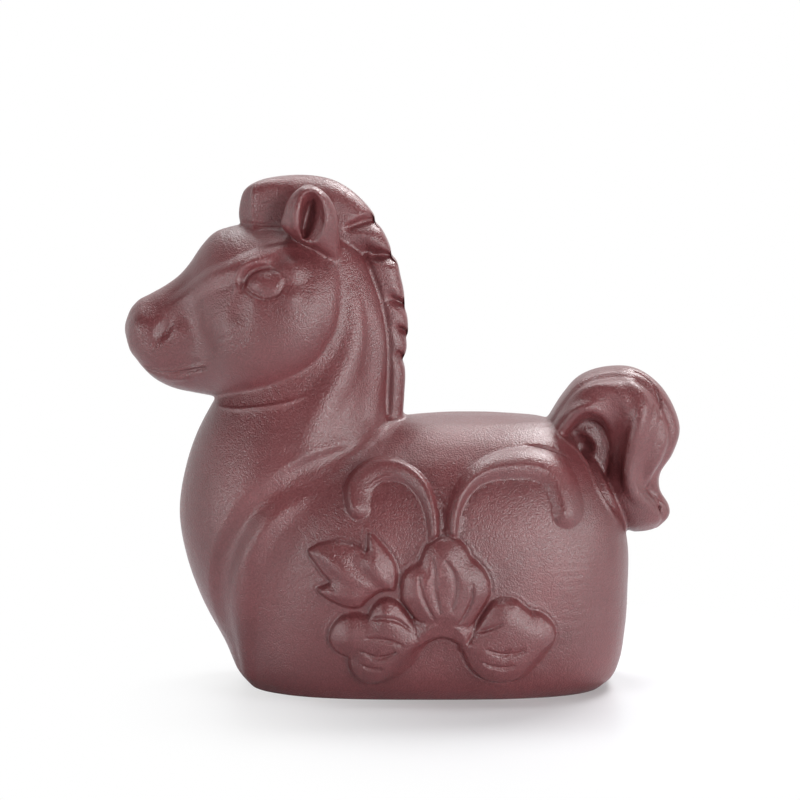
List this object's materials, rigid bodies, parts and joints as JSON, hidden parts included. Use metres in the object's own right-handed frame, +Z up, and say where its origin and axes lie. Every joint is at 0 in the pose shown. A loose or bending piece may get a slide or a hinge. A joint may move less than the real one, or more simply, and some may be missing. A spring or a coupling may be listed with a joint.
{
  "type": "tea pet",
  "caption": "Horse-shaped tea pet of unglazed brown clay with a raised flower, leaf and scrolls on its flanks, hollow, with a firing vent in its flat base.",
  "frame": {"origin": "middle of the bounding box on the plane the base rests on", "axes": "the horse faces -X with its tail at +X, +Y points to its own right side, +Z is up"},
  "size_m": [0.1, 0.0496, 0.0921],
  "materials": {
    "clay": "unglazed fine brown-purple clay, satin-matte with a very fine grain"
  },
  "bodies": {
    "root": {"tea_pet": "clay"}
  },
  "joints": []
}
